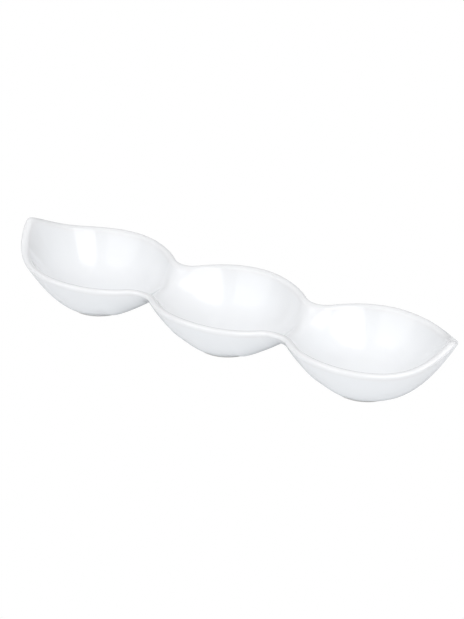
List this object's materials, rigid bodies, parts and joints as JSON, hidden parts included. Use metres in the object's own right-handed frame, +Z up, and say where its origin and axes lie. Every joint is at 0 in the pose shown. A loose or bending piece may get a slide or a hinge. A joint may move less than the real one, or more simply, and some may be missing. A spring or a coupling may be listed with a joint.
{
  "type": "divided serving dish",
  "caption": "Long glazed porcelain serving dish: oval bowls joined in a row at narrow waists, a rim that sweeps up to a point at each end, and a low foot ring under each bowl.",
  "frame": {"origin": "the table, under the middle of the middle bowl", "axes": "+X along the row of bowls, +Y across it, +Z up out of the bowls"},
  "size_m": [0.38, 0.1056, 0.0564],
  "materials": {
    "glaze": "glossy clear glaze over white porcelain",
    "foot": "bare fired porcelain, smooth and matt"
  },
  "bodies": {
    "root": {"left_bowl": "glaze", "middle_bowl": "glaze", "right_bowl": "glaze", "left_foot": "foot", "middle_foot": "foot", "right_foot": "foot"}
  },
  "joints": []
}
